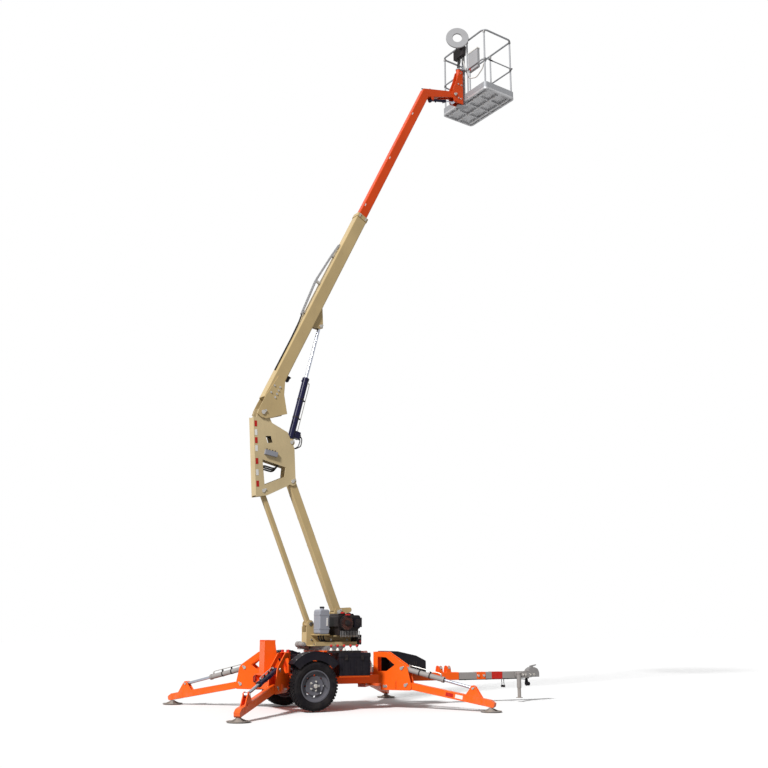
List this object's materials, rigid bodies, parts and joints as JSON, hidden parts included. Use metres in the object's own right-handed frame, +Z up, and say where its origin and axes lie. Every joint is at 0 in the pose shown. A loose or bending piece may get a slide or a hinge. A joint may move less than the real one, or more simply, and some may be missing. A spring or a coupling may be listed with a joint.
{
  "type": "towable articulated boom lift",
  "caption": "Towable work platform: folding lower boom, telescopic upper boom with a rail cage, slewing on a two-wheel trailer chassis held by four swing-down outriggers",
  "frame": {"origin": "centre of the footprint on the ground plane: midway between the rear foot pads' rear edges and the coupler's nose, and midway between the left and right foot pads", "axes": "+X along the tongue towards the coupler, +Y to the machine's left, +Z up; the boom's upright plane is turned 9.6 degrees from +X towards +Y"},
  "size_m": [5.496, 3.5404, 11.8282],
  "materials": {
    "orange_steel": "semi-gloss orange enamel",
    "tan_steel": "semi-gloss cream-tan enamel",
    "dark_blue_steel": "semi-gloss near-black blue enamel",
    "grey_steel": "satin grey paint",
    "black_steel": "satin black paint",
    "bare_steel": "machined, lightly worn",
    "chromed_rod": "hard chrome plate",
    "cage_alloy": "satin aluminium tube",
    "rim_silver": "silver wheel paint",
    "tread_rubber": "matt tyre rubber",
    "black_plastic": "textured black moulding",
    "red_plastic": "moulded red lens and knobs",
    "grey_plastic": "moulded grey plastic"
  },
  "bodies": {
    "chassis": {"chassis_frame": "orange_steel", "axle": "orange_steel", "fenders": "black_plastic", "battery_boxes": "black_plastic", "boom_rest": "orange_steel", "tongue_hood": "black_plastic", "outrigger_valves": "black_steel", "tail_lamps": "red_plastic", "tongue_sleeve": "orange_steel", "tongue_bar": "grey_steel", "coupler": "bare_steel", "lighting_socket": "black_plastic", "slew_ring": "bare_steel"},
    "wheel_left": {"tyre_left": "tread_rubber", "rim_left": "rim_silver"},
    "wheel_right": {"tyre_right": "tread_rubber", "rim_right": "rim_silver"},
    "leg_front_left": {"outrigger_beam_front_left": "orange_steel", "foot_pad_front_left": "grey_steel"},
    "leg_barrel_front_left": {"outrigger_barrel_front_left": "grey_steel"},
    "leg_rod_front_left": {"outrigger_rod_front_left": "chromed_rod"},
    "leg_front_right": {"outrigger_beam_front_right": "orange_steel", "foot_pad_front_right": "grey_steel"},
    "leg_barrel_front_right": {"outrigger_barrel_front_right": "grey_steel"},
    "leg_rod_front_right": {"outrigger_rod_front_right": "chromed_rod"},
    "leg_rear_left": {"outrigger_beam_rear_left": "orange_steel", "foot_pad_rear_left": "grey_steel"},
    "leg_barrel_rear_left": {"outrigger_barrel_rear_left": "grey_steel"},
    "leg_rod_rear_left": {"outrigger_rod_rear_left": "chromed_rod"},
    "leg_rear_right": {"outrigger_beam_rear_right": "orange_steel", "foot_pad_rear_right": "grey_steel"},
    "leg_barrel_rear_right": {"outrigger_barrel_rear_right": "grey_steel"},
    "leg_rod_rear_right": {"outrigger_rod_rear_right": "chromed_rod"},
    "jack": {"tongue_jack": "grey_steel"},
    "turntable": {"turntable": "tan_steel", "slew_motor": "grey_steel", "oil_tank": "grey_steel", "power_unit": "black_steel", "ground_controls": "black_plastic"},
    "lower_boom": {"lower_boom": "tan_steel"},
    "link": {"link": "tan_steel"},
    "upright": {"upright": "tan_steel"},
    "lower_barrel": {"lower_barrel": "dark_blue_steel"},
    "lower_rod": {"lower_rod": "chromed_rod"},
    "upper_boom": {"upper_boom": "tan_steel", "cable_carrier": "grey_plastic"},
    "lift_barrel": {"lift_barrel": "dark_blue_steel"},
    "lift_rod": {"lift_rod": "chromed_rod"},
    "fly": {"fly_boom": "orange_steel", "gooseneck": "orange_steel"},
    "slave_barrel": {"slave_barrel": "dark_blue_steel"},
    "slave_rod": {"slave_rod": "chromed_rod"},
    "platform_mount": {"platform_bracket": "orange_steel"},
    "platform": {"platform_cage": "cage_alloy", "platform_floor": "cage_alloy", "platform_console": "black_plastic", "console_guard": "grey_plastic"},
    "entry_bar": {"entry_bar": "cage_alloy"}
  },
  "joints": [
    {"name": "wheel_left", "type": "hinge", "parent": "chassis", "child": "wheel_left", "pos_m": [-1.252, 0.59, 0.337], "axis": [0, 1, 0], "continuous": true},
    {"name": "wheel_right", "type": "hinge", "parent": "chassis", "child": "wheel_right", "pos_m": [-1.252, -0.59, 0.337], "axis": [0, 1, 0], "continuous": true},
    {"name": "outrigger_front_left", "type": "hinge", "parent": "chassis", "child": "leg_front_left", "pos_m": [0.122, 0.66, 0.32], "axis": [0.7837, -0.6211, 0], "range_deg": [0, 92]},
    {"name": "jack_front_left", "type": "hinge", "parent": "chassis", "child": "leg_barrel_front_left", "pos_m": [0.08473, 0.61298, 0.545], "axis": [0.7837, -0.6211, 0], "range_deg": [0, 99.75]},
    {"name": "stroke_front_left", "type": "slide", "parent": "leg_barrel_front_left", "child": "leg_rod_front_left", "axis": [0.6049, 0.7632, -0.2272], "range_m": [-0.31186, 0]},
    {"name": "outrigger_front_right", "type": "hinge", "parent": "chassis", "child": "leg_front_right", "pos_m": [0.122, -0.66, 0.32], "axis": [-0.7837, -0.6211, 0], "range_deg": [0, 92]},
    {"name": "jack_front_right", "type": "hinge", "parent": "chassis", "child": "leg_barrel_front_right", "pos_m": [0.08473, -0.61298, 0.545], "axis": [-0.7837, -0.6211, 0], "range_deg": [0, 99.75]},
    {"name": "stroke_front_right", "type": "slide", "parent": "leg_barrel_front_right", "child": "leg_rod_front_right", "axis": [0.6049, -0.7632, -0.2272], "range_m": [-0.31186, 0]},
    {"name": "outrigger_rear_left", "type": "hinge", "parent": "chassis", "child": "leg_rear_left", "pos_m": [-1.838, 0.66, 0.32], "axis": [0.7837, 0.6211, 0], "range_deg": [0, 92]},
    {"name": "jack_rear_left", "type": "hinge", "parent": "chassis", "child": "leg_barrel_rear_left", "pos_m": [-1.80073, 0.61298, 0.545], "axis": [0.7837, 0.6211, 0], "range_deg": [0, 99.75]},
    {"name": "stroke_rear_left", "type": "slide", "parent": "leg_barrel_rear_left", "child": "leg_rod_rear_left", "axis": [-0.6049, 0.7632, -0.2272], "range_m": [-0.31186, 0]},
    {"name": "outrigger_rear_right", "type": "hinge", "parent": "chassis", "child": "leg_rear_right", "pos_m": [-1.838, -0.66, 0.32], "axis": [-0.7837, 0.6211, 0], "range_deg": [0, 92]},
    {"name": "jack_rear_right", "type": "hinge", "parent": "chassis", "child": "leg_barrel_rear_right", "pos_m": [-1.80073, -0.61298, 0.545], "axis": [-0.7837, 0.6211, 0], "range_deg": [0, 99.75]},
    {"name": "stroke_rear_right", "type": "slide", "parent": "leg_barrel_rear_right", "child": "leg_rod_rear_right", "axis": [-0.6049, -0.7632, -0.2272], "range_m": [-0.31186, 0]},
    {"name": "jack_swivel", "type": "hinge", "parent": "chassis", "child": "jack", "pos_m": [2.322, -0.07, 0.395], "axis": [0, 1, 0], "range_deg": [0, 90]},
    {"name": "slew", "type": "hinge", "parent": "chassis", "child": "turntable", "pos_m": [-0.858, 0, 0.786], "axis": [0, 0, 1], "range_deg": [-189.1, 169.9]},
    {"name": "lower_boom", "type": "hinge", "parent": "turntable", "child": "lower_boom", "pos_m": [-0.67461, 0.03102, 1.317], "axis": [0.1668, -0.986, 0], "range_deg": [0, 72]},
    {"name": "link", "type": "hinge", "parent": "turntable", "child": "link", "pos_m": [-1.13506, -0.04686, 1.146], "axis": [0.1668, -0.986, 0], "range_deg": [0, 72]},
    {"name": "upright_level", "type": "hinge", "parent": "lower_boom", "child": "upright", "pos_m": [-1.47194, -0.10384, 3.14185], "axis": [0.1668, -0.986, 0], "range_deg": [-72, 0]},
    {"name": "lower_cylinder_pivot", "type": "hinge", "parent": "turntable", "child": "lower_barrel", "pos_m": [-0.43994, 0.07071, 0.94], "axis": [0.1668, -0.986, 0], "range_deg": [0, 15.09]},
    {"name": "lower_cylinder_stroke", "type": "slide", "parent": "lower_barrel", "child": "lower_rod", "axis": [-0.0734, -0.0124, 0.9972], "range_m": [0, 0.20858]},
    {"name": "upper_boom", "type": "hinge", "parent": "upright", "child": "upper_boom", "pos_m": [-1.98663, -0.19089, 4.09685], "axis": [0.1668, -0.986, 0], "range_deg": [-71.7, 4]},
    {"name": "lift_cylinder_pivot", "type": "hinge", "parent": "upright", "child": "lift_barrel", "pos_m": [-1.50448, -0.10934, 3.71185], "axis": [0.1668, -0.986, 0], "range_deg": [-78.87, 4.41]},
    {"name": "lift_cylinder_stroke", "type": "slide", "parent": "lift_barrel", "child": "lift_rod", "axis": [0.2447, 0.0414, 0.9687], "range_m": [-0.70378, 0.03945]},
    {"name": "fly_extension", "type": "slide", "parent": "upper_boom", "child": "fly", "axis": [0.4369, 0.0739, 0.8965], "range_m": [-2.85, 0]},
    {"name": "level_cylinder_pivot", "type": "hinge", "parent": "fly", "child": "slave_barrel", "pos_m": [1.17061, 0.34311, 10.20989], "axis": [0.1668, -0.986, 0], "range_deg": [-0.31, 5.45]},
    {"name": "level_cylinder_stroke", "type": "slide", "parent": "slave_barrel", "child": "slave_rod", "axis": [0.954, 0.1614, 0.2525], "range_m": [-0.0074, 0.12924]},
    {"name": "platform_level", "type": "hinge", "parent": "fly", "child": "platform_mount", "pos_m": [1.66213, 0.42625, 10.46225], "axis": [0.1668, -0.986, 0], "range_deg": [-4, 71.7]},
    {"name": "platform_rotate", "type": "hinge", "parent": "platform_mount", "child": "platform", "pos_m": [1.80411, 0.45026, 10.33525], "axis": [0, 0, 1], "range_deg": [-45, 45]},
    {"name": "entry_bar", "type": "hinge", "parent": "platform", "child": "entry_bar", "pos_m": [2.66039, -0.00937, 11.03025], "axis": [-0.1668, 0.986, 0], "range_deg": [0, 60]}
  ],
  "couplings": [
    {"joint": "jack_front_left", "follows": "outrigger_front_left", "ratio": 1.0841},
    {"joint": "stroke_front_left", "follows": "outrigger_front_left", "m_per_rad": -0.19416},
    {"joint": "jack_front_right", "follows": "outrigger_front_right", "ratio": 1.0841},
    {"joint": "stroke_front_right", "follows": "outrigger_front_right", "m_per_rad": -0.19416},
    {"joint": "jack_rear_left", "follows": "outrigger_rear_left", "ratio": 1.0841},
    {"joint": "stroke_rear_left", "follows": "outrigger_rear_left", "m_per_rad": -0.19416},
    {"joint": "jack_rear_right", "follows": "outrigger_rear_right", "ratio": 1.0841},
    {"joint": "stroke_rear_right", "follows": "outrigger_rear_right", "m_per_rad": -0.19416},
    {"joint": "link", "follows": "lower_boom", "ratio": 1},
    {"joint": "upright_level", "follows": "lower_boom", "ratio": -1},
    {"joint": "lower_cylinder_pivot", "follows": "lower_boom", "ratio": 0.20937},
    {"joint": "lower_cylinder_stroke", "follows": "lower_boom", "m_per_rad": 0.16583},
    {"joint": "lift_cylinder_pivot", "follows": "upper_boom", "ratio": 1.0999},
    {"joint": "lift_cylinder_stroke", "follows": "upper_boom", "m_per_rad": 0.56223},
    {"joint": "level_cylinder_pivot", "follows": "upper_boom", "ratio": -0.075888},
    {"joint": "level_cylinder_stroke", "follows": "upper_boom", "m_per_rad": -0.10312},
    {"joint": "platform_level", "follows": "upper_boom", "ratio": -1}
  ]
}
